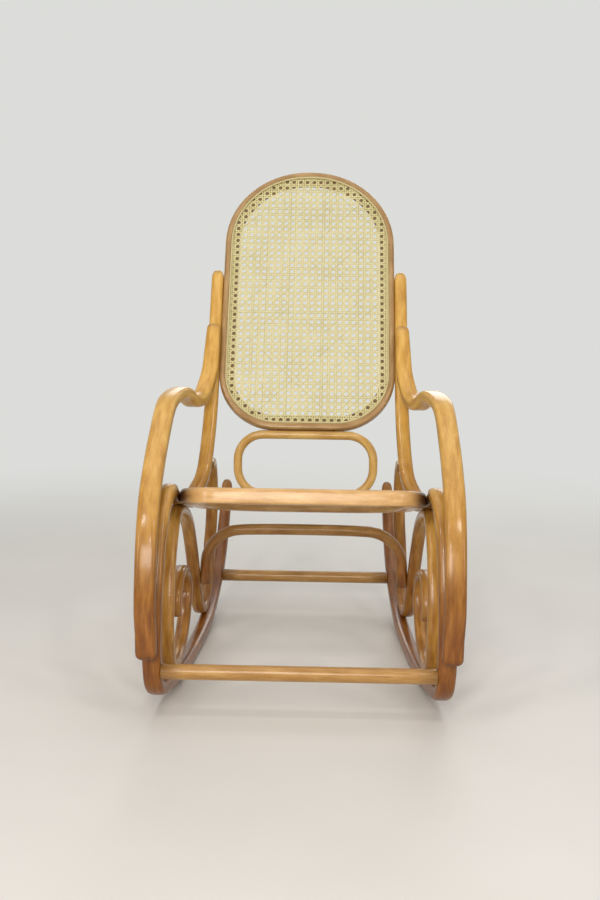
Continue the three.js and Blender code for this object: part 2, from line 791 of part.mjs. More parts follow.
// Screws: each starts in one piece and bites into the next.
sides.forEach(([name, side]) => {
  const inward = vec(-side, 0, 0);
  const bar = `side_frame_${name}`;
  const arm = `arm_${name}`;
  const scroll = `scroll_${name}`;
  const outerPost = side * (postX + postWidth / 2);
  postScrewShares.forEach((share, index) => {
    const head = backPoint(outerPost, postTopAlong * share, 0);
    addScrew(`post_screw_${name}_${index + 1}`, head, inward, postWidth + bite, [bar, 'back_frame']);
  });
  const armFace = barThickness / 2 + fitGap + armThickness;
  const armHead = backPoint(side * postX, armScrewAlong, armFace);
  const intoPost = backOver.clone().negate();
  addScrew(`arm_top_screw_${name}`, armHead, intoPost, armThickness + bite, [arm, bar]);
  const footX = side * (frontHalfSpan + armFootStep / 2);
  const footHead = vec(footX, -(frontReach + armFace), armFootHeight + armFootScrewRise);
  addScrew(`arm_foot_screw_${name}`, footHead, REAR, armThickness + bite, [arm, bar]);
  seatScrewYs.forEach((y, index) => {
    const head = vec(side * (railSpan(y) + barWidth / 2), y, railHeight(y));
    addScrew(`seat_screw_${name}_${index + 1}`, head, inward, barWidth + bite, [bar, 'seat_frame']);
  });
  const underRail = (barThickness / 2 + fitGap + scrollThickness) / Math.cos(seatTilt);
  const railScrewX = (side * (scrollSpan(railScrewY) + railSpan(railScrewY))) / 2;
  const railHead = vec(railScrewX, railScrewY, railHeight(railScrewY) - underRail);
  addScrew(`scroll_top_screw_${name}`, railHead, seatOver, scrollThickness + bite, [scroll, bar]);
  scrollScrewYs.forEach((y, index) => {
    const x = (side * (scrollSpan(y) + rockerSpan(y))) / 2;
    const head = vec(x, y, rockerHeight(y) + barThickness / 2 + fitGap + scrollThickness);
    const down = vec(0, (y - rockLowY) / rockRadius, -1);
    addScrew(`scroll_foot_screw_${name}_${index + 1}`, head, down, scrollThickness + bite, [scroll, bar]);
  });
  const hookX = side * (scrollSpan(backPoint(0, -hookDrop, 0).y) - hookInset);
  const hookHead = backPoint(hookX, -hookDrop, barThickness / 2);
  addScrew(`hook_screw_${name}`, hookHead, intoPost, barThickness + longBite, [bar, scroll]);
  const frontHead = frontStretcherAt.clone().setX(side * (frontStretcherAt.x + frontBarWidth / 2));
  const frontLength = frontBarWidth + longBite;
  addScrew(`front_stretcher_screw_${name}`, frontHead, inward, frontLength, [bar, 'front_stretcher']);
  const rearHead = rearStretcherAt.clone().setX(side * (rearStretcherAt.x + barWidth / 2));
  addScrew(`rear_stretcher_screw_${name}`, rearHead, inward, barWidth + longBite, [bar, 'rear_stretcher']);
  const archHead = vec(side * (scrollSpan(archY) + scrollWidth / 2), archY, archFootHeight + archScrewRise);
  addScrew(`arch_screw_${name}`, archHead, inward, scrollWidth + bite, [scroll, 'arch_brace']);
  const hoopLength = hoopHead.distanceTo(hoopFoot) - footRise - headDrop;
  const hoopScrewLength = 2 * hoopRadius + hoopBite;
  const upperHead = hoopToChair(side * hoopScrewX, hoopLength - 2 * hoopRadius, 0);
  addScrew(`hoop_top_screw_${name}`, upperHead, hoopAlong, hoopScrewLength, ['back_hoop', 'back_frame']);
  const lowerHead = hoopToChair(side * hoopScrewX, 2 * hoopRadius, 0);
  const downHoop = hoopAlong.clone().negate();
  addScrew(`hoop_foot_screw_${name}`, lowerHead, downHoop, hoopScrewLength, ['back_hoop', 'seat_frame']);
});

// Each piece, with its screw holes cut, becomes a mesh.
pieces.forEach(({ geometry, material }, name) => {
  const cutters = holes.filter(([holed]) => holed === name).map(([, cutter]) => cutter);
  let finished = geometry;
  if (cutters.length > 0) {
    finished = toGeometry(cutters.reduce((solid, cutter) => solid.subtract(cutter), toSolid(geometry)));
  }
  finished.computeVertexNormals();
  const mesh = new THREE.Mesh(finished, material.clone());
  mesh.name = name;
  chair.add(mesh);
});

// The origin is on the floor under the middle of the chair.
const box = new THREE.Box3().setFromObject(chair);
const middle = box.getCenter(vec(0, 0, 0));
chair.position.set(-middle.x, -middle.y, -box.min.z);

export default chair;
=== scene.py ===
# %% [markdown]
# A bentwood rocking chair is a set of beech rods that were steamed, bent round iron forms and dried there.
# Two side frames run from the back's posts through the seat rails into the rockers, and scrolls, arms and
# cross pieces are screwed to them. The seat and the back are bent rims with a woven cane panel each.
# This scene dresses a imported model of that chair: it loads the fixed frame first, and then makes every rod
# again as a smooth sweep, weaves the cane strand by strand, and gives each surface its finish.

# %% Frame
import math
import random

import bmesh
import bpy
from mathutils import Matrix, Vector


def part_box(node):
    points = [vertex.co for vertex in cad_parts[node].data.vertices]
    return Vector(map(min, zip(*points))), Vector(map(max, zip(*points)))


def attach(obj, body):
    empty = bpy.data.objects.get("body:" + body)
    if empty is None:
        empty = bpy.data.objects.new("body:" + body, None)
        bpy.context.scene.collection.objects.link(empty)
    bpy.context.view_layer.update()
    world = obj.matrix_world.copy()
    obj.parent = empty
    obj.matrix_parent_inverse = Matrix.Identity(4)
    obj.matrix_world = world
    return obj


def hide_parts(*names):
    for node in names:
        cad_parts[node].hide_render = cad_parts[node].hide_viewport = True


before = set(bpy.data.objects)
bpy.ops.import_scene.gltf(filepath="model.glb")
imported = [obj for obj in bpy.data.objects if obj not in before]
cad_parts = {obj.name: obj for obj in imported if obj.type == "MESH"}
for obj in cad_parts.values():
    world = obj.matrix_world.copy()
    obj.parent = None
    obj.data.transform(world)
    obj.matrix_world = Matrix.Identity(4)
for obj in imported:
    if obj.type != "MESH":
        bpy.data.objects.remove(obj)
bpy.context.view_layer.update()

# %% [markdown]
# The chair is modelled in millimetres, in the frame of a joiner's drawing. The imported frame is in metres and
# has its origin in the middle of the floor, so one matrix takes a finished mesh from the drawing to it. The
# small shift between them is read from the arch brace, whose feet have a known place in the drawing.

# %% Units and the drawing's place in the frame
METRES_PER_MM = 0.001
arch_y = 24
arch_foot_height = 128
arch_low, arch_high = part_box("arch_brace")
arch_foot = Vector((0, (arch_low.y + arch_high.y) / 2, arch_low.z)) / METRES_PER_MM
drawing_shift = arch_foot - Vector((0, arch_y, arch_foot_height))
to_frame = Matrix.Scale(METRES_PER_MM, 4) @ Matrix.Translation(drawing_shift)
print("the drawing is shifted by", [round(value, 2) for value in drawing_shift], "mm")

X = Vector((1, 0, 0))
Y = Vector((0, 1, 0))
Z = Vector((0, 0, 1))


def lerp(start, end, share):
    return start + (end - start) * share


def from_columns(across, through, along, place):
    """The matrix that turns and moves a mesh: its columns are three directions and a place."""
    columns = zip((across, through, along, place), (0, 0, 0, 1))
    return Matrix([(*column, last) for column, last in columns]).transposed()


# %% [markdown]
# A material here is a small graph of nodes. One helper adds a node with its settings and its links, and
# another turns the hex colours that a painter would note down into the linear values that Cycles needs.

# %% Helpers for materials
def linear(hex_colour):
    """An sRGB hex colour as linear red, green, blue and alpha."""
    channels = [int(hex_colour[place:place + 2], 16) / 255 for place in (1, 3, 5)]
    return (*(c / 12.92 if c <= 0.04045 else ((c + 0.055) / 1.055) ** 2.4 for c in channels), 1)


def add_node(tree, kind, settings=None, links=None):
    """Adds a node: a setting is an input's value where the node has that input, or else the node's own."""
    node = tree.nodes.new(kind)
    for key, value in (settings or {}).items():
        if isinstance(key, int) or key in node.inputs:
            node.inputs[key].default_value = value
        else:
            setattr(node, key, value)
    for key, source in (links or {}).items():
        tree.links.new(source, node.inputs[key])
    return node


def new_material(name):
    """A material with an empty graph, and its tree."""
    material = bpy.data.materials.new(name)
    material.use_nodes = True
    material.node_tree.nodes.clear()
    return material, material.node_tree


def colour_ramp(tree, factor, stops):
    """A ramp from (place, hex colour) stops, driven by a factor."""
    ramp = add_node(tree, "ShaderNodeValToRGB", links={"Fac": factor})
    elements = ramp.color_ramp.elements
    while len(elements) < len(stops):
        elements.new(1)
    for element, (place, hex_colour) in zip(elements, stops):
        element.position = place
        element.color = linear(hex_colour)
    return ramp.outputs["Color"]


# %% [markdown]
# The rods are beech under a clear lacquer. Beech is close-grained: its figure is a soft cloud some 10 mm wide
# and 60 mm long, fine fibres along the rod, and short dark flecks two or three millimetres long. Object
# coordinates would do for a straight rod, but the grain of a bent rod follows the bend. So each rod carries
# an attribute, grain, that gives every point its place in the rod as it was before bending: across, through
# and along, in millimetres. Two more say where the rod ends and where a rim's ledge lies under the cane. The
# lacquer is a coat over a satin base, which gives the long window-like lights of a varnished rod. The colour
# also holds painted shade: the tones darken towards the floor, less so at the fronts of the scrolls, which
# are lightened there as painted light. Painted shade also darkens the corners where the seat, the rails and
# the scrolls meet, and a rim's ledge under the cane. Each rod's end is darker too, partly its end grain and
# partly painted shade along the seam where it meets another part.

# %% Finish: lacquered beech
# The middle of the painted shade where the seat, the rails and the scrolls meet.
seat_corner = to_frame @ Vector((234, -258, 381))
streak_noise = ((0.085, 0.085, 0.016), 3, 0.55)
fibre_noise = ((1.1, 1.1, 0.03), 3, 0.55)
fleck_noise = ((1.5, 1.5, 0.22), 1, 0.5)


def lacquered_beech(name, tones, low_shade_tones, coat_roughness, front_light_share=0, low_shade_top=0.56):
    """Beech in tones from dark to light clouds, with painted shade on a rim's ledge under the cane.

    Below low_shade_top, in metres, it passes into low_shade_tones, painted shade towards the floor, and
    front_light_share is the share of that shade lifted again at the front, as painted light.
    """
    material, tree = new_material(name)
    grain = add_node(tree, "ShaderNodeAttribute", {"attribute_name": "grain"}).outputs["Vector"]
    noises = []
    for scale, detail, roughness in streak_noise, fibre_noise, fleck_noise:
        space = add_node(tree, "ShaderNodeMapping", {"Scale": scale}, {"Vector": grain}).outputs["Vector"]
        settings = {"Scale": 1, "Detail": detail, "Roughness": roughness}
        noises.append(add_node(tree, "ShaderNodeTexNoise", settings, {"Vector": space}).outputs["Fac"])
    streaks, fibres, specks = noises
    figure = add_node(
        tree, "ShaderNodeMix", {"data_type": "FLOAT", 0: 0.3}, {2: streaks, 3: fibres}
    ).outputs[0]
    streak_places = (0.36, 0.5, 0.64)
    upper = colour_ramp(tree, figure, list(zip(streak_places, tones)))
    lower = colour_ramp(tree, figure, list(zip(streak_places, low_shade_tones)))
    place = add_node(tree, "ShaderNodeTexCoord").outputs["Object"]
    x, y, z = add_node(tree, "ShaderNodeSeparateXYZ", links={"Vector": place}).outputs
    # Painted shade: below a given height the tones pass into darker ones towards the floor.
    low_share = add_node(
        tree,
        "ShaderNodeMapRange",
        {"From Min": low_shade_top, "From Max": 0.16, "interpolation_type": "SMOOTHSTEP"},
        {"Value": z},
    ).outputs["Result"]
    # Painted light: towards the front, part of the painted low shade is lifted again.
    shade_kept_share = add_node(
        tree,
        "ShaderNodeMapRange",
        {"From Min": -0.36, "From Max": -0.12, "To Min": 1 - front_light_share},
        {"Value": y},
    ).outputs["Result"]
    low_shade_share = add_node(
        tree, "ShaderNodeMath", {"operation": "MULTIPLY"}, {0: low_share, 1: shade_kept_share}
    ).outputs[0]
    low_shaded_colour = add_node(
        tree, "ShaderNodeMix", {"data_type": "RGBA"}, {0: low_shade_share, 6: upper, 7: lower}
    ).outputs[2]
    fleck_share = add_node(
        tree, "ShaderNodeMapRange", {"From Min": 0.64, "From Max": 0.74, "To Max": 0.55}, {"Value": specks}
    ).outputs["Result"]
    flecked = add_node(
        tree, "ShaderNodeMix", {"data_type": "RGBA", 7: linear("#6E3F15")}, {0: fleck_share, 6: low_shaded_colour}
    ).outputs[2]
    # Painted shade in the corners where the seat, the rails and the scrolls meet, on both sides of the chair.
    either_side = add_node(tree, "ShaderNodeMath", {"operation": "ABSOLUTE"}, {0: x}).outputs[0]
    mirrored = add_node(tree, "ShaderNodeCombineXYZ", links={0: either_side, 1: y, 2: z}).outputs[0]
    from_corner = add_node(
        tree, "ShaderNodeVectorMath", {"operation": "DISTANCE", 1: seat_corner}, {0: mirrored}
    ).outputs["Value"]
    corner_shade = add_node(
        tree,
        "ShaderNodeMapRange",
        {"From Min": 0.052, "From Max": 0.014, "To Max": 0.9, "interpolation_type": "SMOOTHSTEP"},
        {"Value": from_corner},
    ).outputs["Result"]
    # Darker towards each rod's end: partly its end grain, partly painted shade along the seam where it meets
    # another part.
    rod_end = add_node(tree, "ShaderNodeAttribute", {"attribute_name": "rod_end"}).outputs["Fac"]
    end_grain_and_seam_shade = add_node(tree, "ShaderNodeMath", {"operation": "MULTIPLY", 1: 0.5}, {0: rod_end}).outputs[0]
    corner_shade_and_end_grain = add_node(
        tree, "ShaderNodeMath", {"operation": "MAXIMUM"}, {0: corner_shade, 1: end_grain_and_seam_shade}
    ).outputs[0]
    darkened_colour = add_node(
        tree, "ShaderNodeMix", {"data_type": "RGBA", 7: linear("#42200A")}, {0: corner_shade_and_end_grain, 6: flecked}
    ).outputs[2]
    # Painted shade on a rim's ledge, where it lies under the cane.
    ledge_shade = add_node(tree, "ShaderNodeAttribute", {"attribute_name": "ledge_shade"}).outputs["Fac"]
    colour = add_node(
        tree, "ShaderNodeMix", {"data_type": "RGBA", 7: linear("#6A5330")}, {0: ledge_shade, 6: darkened_colour}
    ).outputs[2]
    gloss = add_node(
        tree, "ShaderNodeMapRange", {"To Min": 0.3, "To Max": 0.5}, {"Value": streaks}
    ).outputs["Result"]
    relief = add_node(
        tree, "ShaderNodeBump", {"Strength": 0.12, "Distance": 0.0003}, {"Height": fibres}
    ).outputs["Normal"]
    shader = add_node(
        tree,
        "ShaderNodeBsdfPrincipled",
        {"IOR": 1.5, "Specular IOR Level": 0.15, "Coat Weight": 0.6, "Coat Roughness": coat_roughness},
        {"Base Color": colour, "Roughness": gloss, "Normal": relief},
    )
    add_node(tree, "ShaderNodeOutputMaterial", links={"Surface": shader.outputs["BSDF"]})
    return material


# In each finish the second row of tones is painted shade that deepens towards the floor: darkest on the rods,
# less on the braces and the scrolls, least on the dowels, and none on the rims. The scrolls' next value lifts
# that shade again at their fronts, as painted light, and the braces' last value makes their shade begin lower.
finishes = {
    "rods": (("#B68431", "#CB9B45", "#DBB05D"), ("#68370B", "#7F4A12", "#935C1F"), 0.17),
    "scrolls": (("#B58434", "#C99A48", "#D9AE5F"), ("#784716", "#916124", "#AA7A3A"), 0.17, 0.25),
    "braces": (("#AF8542", "#C39B56", "#D2AF6B"), ("#6E3F14", "#85531F", "#9C6A34"), 0.14, 0, 0.38),
    "dowels": (("#B98C48", "#C99D57", "#D5AC67"), ("#9D7237", "#AC8146", "#BB9256"), 0.18),
    "back_rim": (("#8E6B3A", "#A27F4E", "#B49464"), ("#8E6B3A", "#A27F4E", "#B49464"), 0.22),
    # The seat rim's tones are raised partly as painted highlight, for the broad soft light on the seat's front
    # face.
    "seat_rim": (("#B98E55", "#CAA067", "#D9B27C"), ("#B98E55", "#CAA067", "#D9B27C"), 0.2),
}
beech = {name: lacquered_beech(f"lacquered_beech_{name}", *finish) for name, finish in finishes.items()}
print("lacquered beech for the", ", ".join(beech))


# %% [markdown]
# Cane is the peeled bark of rattan, split into flat strands and used with its glossy side up. It is pale
# cream with greener and browner lengths, and it turns golden with age. Every strand carries a tone
# attribute, so that one strand differs from the next. A fine noise gives them their fibres, drawn coarser
# than real ones so that it shows.

# %% Finish: natural cane and its spline
def natural_cane(name, dark, middle, light, roughness):
    material, tree = new_material(name)
    tone = add_node(tree, "ShaderNodeAttribute", {"attribute_name": "tone"}).outputs["Fac"]
    place = add_node(tree, "ShaderNodeTexCoord").outputs["Object"]
    patches, fibres = (
        add_node(tree, "ShaderNodeTexNoise", {"Scale": scale, "Detail": 2}, {"Vector": place}).outputs["Fac"]
        for scale in (22, 900)
    )
    mixed = add_node(
        tree, "ShaderNodeMix", {"data_type": "FLOAT", 0: 0.45}, {2: tone, 3: patches}
    ).outputs[0]
    colour = colour_ramp(tree, mixed, ((0.25, dark), (0.5, middle), (0.75, light)))
    relief = add_node(
        tree, "ShaderNodeBump", {"Strength": 0.15, "Distance": 0.0002}, {"Height": fibres}
    ).outputs["Normal"]
    shader = add_node(
        tree,
        "ShaderNodeBsdfPrincipled",
        {"Roughness": roughness, "IOR": 1.48, "Coat Weight": 0.2, "Coat Roughness": 0.25},
        {"Base Color": colour, "Normal": relief},
    )
    add_node(tree, "ShaderNodeOutputMaterial", links={"Surface": shader.outputs["BSDF"]})
    return material


cane = natural_cane("natural_cane", "#B5AA72", "#C7BD85", "#D2C998", 0.45)
reed = natural_cane("reed_spline", "#BDB07E", "#CDC08E", "#D9CDA0", 0.45)
print("cane finishes:", cane.name, "and", reed.name)


# %% [markdown]
# Every rod is one section carried along one bent line. The line is a centripetal Catmull-Rom curve, which
# passes through its points without loops, as steamed wood passes the pegs of its form. The section is a ring
# of vertices: the ring's edges are extruded, the new ring is moved to its place by a matrix, and so on to the
# rod's end. A bevelled curve could do this too, but the rings let each vertex note its place in the unbent
# rod as grain, its nearness to an end as rod_end, and a rim's ledge under the cane, which gets painted shade,
# as ledge_shade.

# %% Bent lines and sections
smoothing_rounds = 3


def bent_line(points, spacing=5):
    """Small even steps along a centripetal Catmull-Rom curve through the points."""
    guide = [2 * points[0] - points[1], *points, 2 * points[-1] - points[-2]]
    line = []
    for p0, p1, p2, p3 in zip(guide, guide[1:], guide[2:], guide[3:]):
        d0, d1, d2 = (math.sqrt((end - start).length) for start, end in ((p0, p1), (p1, p2), (p2, p3)))
        leave = ((p1 - p0) / d0 - (p2 - p0) / (d0 + d1) + (p2 - p1) / d1) * d1
        reach = ((p2 - p1) / d1 - (p3 - p1) / (d1 + d2) + (p3 - p2) / d2) * d1
        bend = 3 * (p2 - p1) - 2 * leave - reach
        twist = 2 * (p1 - p2) + leave + reach
        steps = max(2, round((p2 - p1).length / spacing))
        for step in range(steps):
            share = step / steps
            line.append(p1 + share * (leave + share * (bend + share * twist)))
    line.append(points[-1])
    for _ in range(smoothing_rounds):
        inner = [(a + 2 * b + c) / 4 for a, b, c in zip(line, line[1:], line[2:])]
        line = [line[0], *inner, line[-1]]
    return line


def rounded_section(corners, radii, steps=4):
    """The corners of a section, each rounded to its radius."""
    section = []
    count = len(corners)
    for index, (corner, radius) in enumerate(zip(corners, radii)):
        here = Vector(corner)
        before = (Vector(corners[index - 1]) - here).normalized() * radius
        after = (Vector(corners[(index + 1) % count]) - here).normalized() * radius
        for step in range(steps + 1):
            share = step / steps
            section.append(here + (1 - share) ** 2 * before + share ** 2 * after)
    return section


def round_section(sides):
    turns = [2 * math.pi * step / sides for step in range(sides)]
    return [Vector((math.cos(turn), math.sin(turn))) for turn in turns]


# %% Rings along a bent line
ring_turn = math.radians(3.5)
ring_step = 30
end_ring_steps = 6


def ring_places(line, sideways, half_sizes, end_round=0, flat_end_share=1):
    """A matrix and a distance for each ring of a rod: across, through and along are the matrix's columns.

    A new ring comes where the line has turned by ring_turn or gone on for ring_step. The ends are rounded
    over end_round, down to flat_end_share of the full size.
    """
    reach = [0]
    for start, end in zip(line, line[1:]):
        reach.append(reach[-1] + (end - start).length)
    length = reach[-1]
    tangents = [(after - before).normalized() for before, after in zip(line, line[2:])]
    tangents = [(line[1] - line[0]).normalized(), *tangents, (line[-1] - line[-2]).normalized()]
    kept = [0]
    for index in range(1, len(line) - 1):
        turned = tangents[kept[-1]].angle(tangents[index]) > ring_turn
        far = reach[index] - reach[kept[-1]] > ring_step
        inside = end_round < reach[index] < length - end_round
        if (turned or far) and inside:
            kept.append(index)
    spots = [(line[index], tangents[index], reach[index], 1) for index in kept[1:]]
    first_step = 0 if end_round else end_ring_steps
    for step in range(first_step, end_ring_steps + 1):
        turn = math.pi / 2 * step / end_ring_steps
        depth = end_round * (1 - math.cos(turn))
        keep = lerp(flat_end_share, 1, math.sin(turn))
        spots.append((line[0] + tangents[0] * depth, tangents[0], depth, keep))
        spots.append((line[-1] - tangents[-1] * depth, tangents[-1], length - depth, keep))
    places = []
    for at, along, distance, keep in sorted(spots, key=lambda spot: spot[2]):
        across = (sideways - along * sideways.dot(along)).normalized()
        through = along.cross(across)
        half_across, half_through = half_sizes(distance / length)
        place = from_columns(across * half_across * keep, through * half_through * keep, along, at)
        places.append((place, distance))
    return places


plank_steps = (90, 40, 700)
ledge_margins = (0.5, 0.2)
# How far from a rod's end it darkens: end grain, and painted shade at the seam where the end meets another
# part.
dark_end_length = 14


def sweep(section, places, closed=False, end_bevel=0, timber=0, ledge=None):
    """Extrudes a ring of section corners from place to place, and closes the ends or joins them.

    Each timber has its own number and comes from another place in the plank. A ledge is the corner of a
    rim's rebate: the wood beyond it, on its level, is marked for painted shade, the shade under the cane.
    """
    bm = bmesh.new()
    grain = bm.verts.layers.float_vector.new("grain")
    ledge_shade = bm.verts.layers.float.new("ledge_shade")
    rod_end = bm.verts.layers.float.new("rod_end")
    length = places[-1][1]
    plank_place = [step * timber for step in plank_steps]
    ring = [bm.verts.new((*corner, 0)) for corner in section]
    edges = [bm.edges.new(pair) for pair in zip(ring, ring[1:] + ring[:1])]
    first = edges
    here = Matrix.Identity(4)
    for index, (place, distance) in enumerate(places):
        if index:
            made = bmesh.ops.extrude_edge_only(bm, edges=edges)["geom"]
            ring = [item for item in made if isinstance(item, bmesh.types.BMVert)]
            edges = [item for item in made if isinstance(item, bmesh.types.BMEdge) and item.is_boundary]
        bmesh.ops.transform(bm, matrix=place @ here.inverted(), verts=ring)
        here = place
        back = place.inverted()
        widths = place.to_scale()
        for vert in ring:
            a, t, _ = back @ vert.co
            unbent = (a * widths.x, t * widths.y, distance)
            vert[grain] = [part + start for part, start in zip(unbent, plank_place)]
            # The wood beyond the rebate's corner is marked for painted shade, the shade under the cane.
            if ledge is not None:
                vert[ledge_shade] = a > ledge.x - ledge_margins[0] and abs(t - ledge.y) < ledge_margins[1]
            if not closed:
                vert[rod_end] = max(0, 1 - min(distance, length - distance) / dark_end_length)
    if closed:
        bmesh.ops.bridge_loops(bm, edges=first + edges)
    else:
        for loop in (first, edges):
            bmesh.ops.edgeloop_fill(bm, edges=loop)
        if end_bevel:
            sharp = first + edges
            bmesh.ops.bevel(
                bm, geom=sharp, offset=end_bevel, segments=2, profile=0.5, affect="EDGES", material=-1
            )
    return bm


# %% A finished mesh becomes a piece of the chair
crease_angle = math.radians(42)


def piece_from(bm, name, material, slot, *nodes):
    """Takes a mesh from the drawing to the frame, and lets it ride on the chair in place of its nodes."""
    bmesh.ops.recalc_face_normals(bm, faces=bm.faces)
    bmesh.ops.transform(bm, matrix=to_frame, verts=bm.verts)
    mesh = bpy.data.meshes.new(name)
    bm.to_mesh(mesh)
    bm.free()
    mesh.shade_smooth()
    mesh.set_sharp_from_angle(angle=crease_angle)
    mesh.materials.append(material)
    piece = bpy.data.objects.new(name, mesh)
    bpy.context.scene.collection.objects.link(piece)
    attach(piece, "root")
    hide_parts(*nodes)
    print(name, "has", sum(len(face.vertices) - 2 for face in mesh.polygons), "triangles")


# %% [markdown]
# These are the joiner's sizes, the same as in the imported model. Half spans say how far each side piece stands
# from the chair's middle plane: the rails run straight and toe out to the front, and the rockers and scrolls
# bow. The rockers roll on an arc of 1.4 m, and the seat and the back each have a plane of their own.

# %% Sizes shared by the rods
fit_gap = 0.3
front_half_span, rail_half_span, rocker_half_span, tip_half_span = 263, 237, 228, 205
scroll_front_half_span, scroll_half_span, scroll_rear_half_span = 248, 241, 225
rock_radius, rock_low_y = 1400, -57
front_reach, rear_reach, rear_tip_rise = 430, 456, 276
bar_width, bar_thickness, front_bar_width, tip_bar_width = 30, 26, 34, 26
seat_front_reach, seat_front_height, seat_depth = 305, 397, 400
seat_tilt = math.radians(15)
back_foot = Vector((0, 85, 463))
back_lean = math.radians(28.8)
back_width, post_width, post_top_along, post_leave_along = 394, 28, 392, 150
post_x = back_width / 2 + fit_gap + post_width / 2

toe_in = (front_half_span - rail_half_span) / front_reach
back_along = Vector((0, math.sin(back_lean), math.cos(back_lean)))
back_over = Vector((0, -math.cos(back_lean), math.sin(back_lean)))
seat_along = Vector((0, -math.cos(seat_tilt), math.sin(seat_tilt)))
seat_over = Vector((0, math.sin(seat_tilt), math.cos(seat_tilt)))
seat_rear = Vector((0, -seat_front_reach, seat_front_height)) - seat_along * seat_depth


def rail_span(y):
    return rail_half_span - toe_in * y


def bowed(front_y, front_span, mid_span, rear_y, rear_span):
    """A half span that bows smoothly from the front through the middle to the rear."""
    front_slope = (front_span - mid_span) / front_y
    rear_slope = (rear_span - mid_span) / rear_y
    bend = (rear_slope - front_slope) / (rear_y - front_y)
    return lambda y: mid_span + (front_slope - bend * front_y) * y + bend * y * y


rocker_span = bowed(-front_reach, front_half_span, rocker_half_span, rear_reach, tip_half_span)
scroll_front, scroll_rear = 345, 203
scroll_span = bowed(
    -scroll_front, scroll_front_half_span, scroll_half_span, scroll_rear, scroll_rear_half_span
)


def rocker_height(y):
    return bar_thickness / 2 + rock_radius - math.sqrt(rock_radius ** 2 - (y - rock_low_y) ** 2)


def rail_height(y):
    return seat_front_height - math.tan(seat_tilt) * (y + seat_front_reach)


def on_back(x, along, over):
    return back_foot + back_along * along + back_over * over + X * x


def on_seat(x, along, over):
    return seat_rear + seat_along * along + seat_over * over + X * x


def from_table(table):
    """Sizes read from a table of (share of the length, size) rows."""
    def size_at(share):
        for (start, low), (stop, high) in zip(table, table[1:]):
            if share <= stop:
                return lerp(low, high, (share - start) / (stop - start))
        return table[-1][1]
    return size_at


# %% [markdown]
# A side frame is the longest rod: it starts at the top of the post, stands against the back's rim, turns
# forward into the rail that carries the seat, drops over the front, turns under and becomes the rocker. The
# bends are rows of shares: of the front reach and the seat's height in front, of the rear reach and the tip's
# rise behind. The rod is planed a little flatter than round, so its section is a rounded rectangle, and the
# rockers' soles are worn flat where they stand.

# %% Side frames
rail_rear, rail_front = -50, -235
knee_drop = 112
crook_back_share, crook_drop_share = 0.45, 0.8
front_limb_shares = (
    (0.67, 1.01), (0.77, 0.975), (0.87, 0.865), (0.945, 0.7), (0.988, 0.52),
    (1, 0.37), (0.995, 0.264), (0.968, 0.182), (0.91, 0.134),
)
arc_front_share, rear_rise_start, arc_steps = 0.8, 90, 8
rear_rise_shares = (
    (0.33, 0.055), (0.45, 0.125), (0.575, 0.225), (0.72, 0.4), (0.86, 0.64), (0.95, 0.85), (1, 1),
)
side_bar_width = from_table((
    (0, post_width), (0.2, bar_width), (0.4, bar_width), (0.47, front_bar_width),
    (0.6, front_bar_width), (0.7, bar_width), (0.9, bar_width), (1, tip_bar_width),
))
square = ((1, -1), (1, 1), (-1, 1), (-1, -1))
rod_rounding, arm_rounding = 0.72, 0.6
rod_section = rounded_section(square, [rod_rounding] * 4)


def side_frame_points(side):
    def in_rail(y, z):
        return Vector((side * rail_span(y), y, z))

    def in_rocker(y, z):
        return Vector((side * rocker_span(y), y, z))

    points = [
        on_back(side * post_x, along, 0)
        for along in (post_top_along, (post_leave_along + post_top_along) / 2, post_leave_along)
    ]
    for along, out_share in ((0, 0.1), (-knee_drop, 0.5)):
        point = on_back(0, along, 0)
        point.x = side * lerp(post_x, rail_span(point.y), out_share)
        points.append(point)
    knee = points[-1]
    crook_y = lerp(knee.y, rail_rear, crook_back_share)
    points.append(in_rail(crook_y, lerp(knee.z, rail_height(rail_rear), crook_drop_share)))
    points += [in_rail(y, rail_height(y)) for y in (rail_rear, (rail_rear + rail_front) / 2, rail_front)]
    points += [in_rocker(-front_reach * out, seat_front_height * up) for out, up in front_limb_shares]
    for step in range(arc_steps + 1):
        y = lerp(-arc_front_share * front_reach, rear_rise_start, step / arc_steps)
        points.append(in_rocker(y, rocker_height(y)))
    rise_foot = rocker_height(rear_rise_start)
    points += [
        in_rocker(rear_reach * out, lerp(rise_foot, rear_tip_rise, up)) for out, up in rear_rise_shares
    ]
    return points


sides = (("left", -1), ("right", 1))
floor_height = -drawing_shift.z
for timber, (name, side) in enumerate(sides):
    places = ring_places(
        bent_line(side_frame_points(side)),
        X,
        lambda share: (side_bar_width(share) / 2, bar_thickness / 2),
        end_round=22,
        flat_end_share=0.15,
    )
    bm = sweep(rod_section, places, timber=timber)
    for vert in bm.verts:
        vert.co.z = max(vert.co.z, floor_height)
    piece_from(bm, f"bent_side_frame_{name}", beech["rods"], "beech", f"side_frame_{name}")

# %% [markdown]
# An arm starts as a splice on the front of the post, dips, rises to its crest, swings outwards for the
# sitter's elbow and falls in one long curve to the foot of the side frame. It is the widest rod, with a
# flatter top, because hands and elbows rest on it.

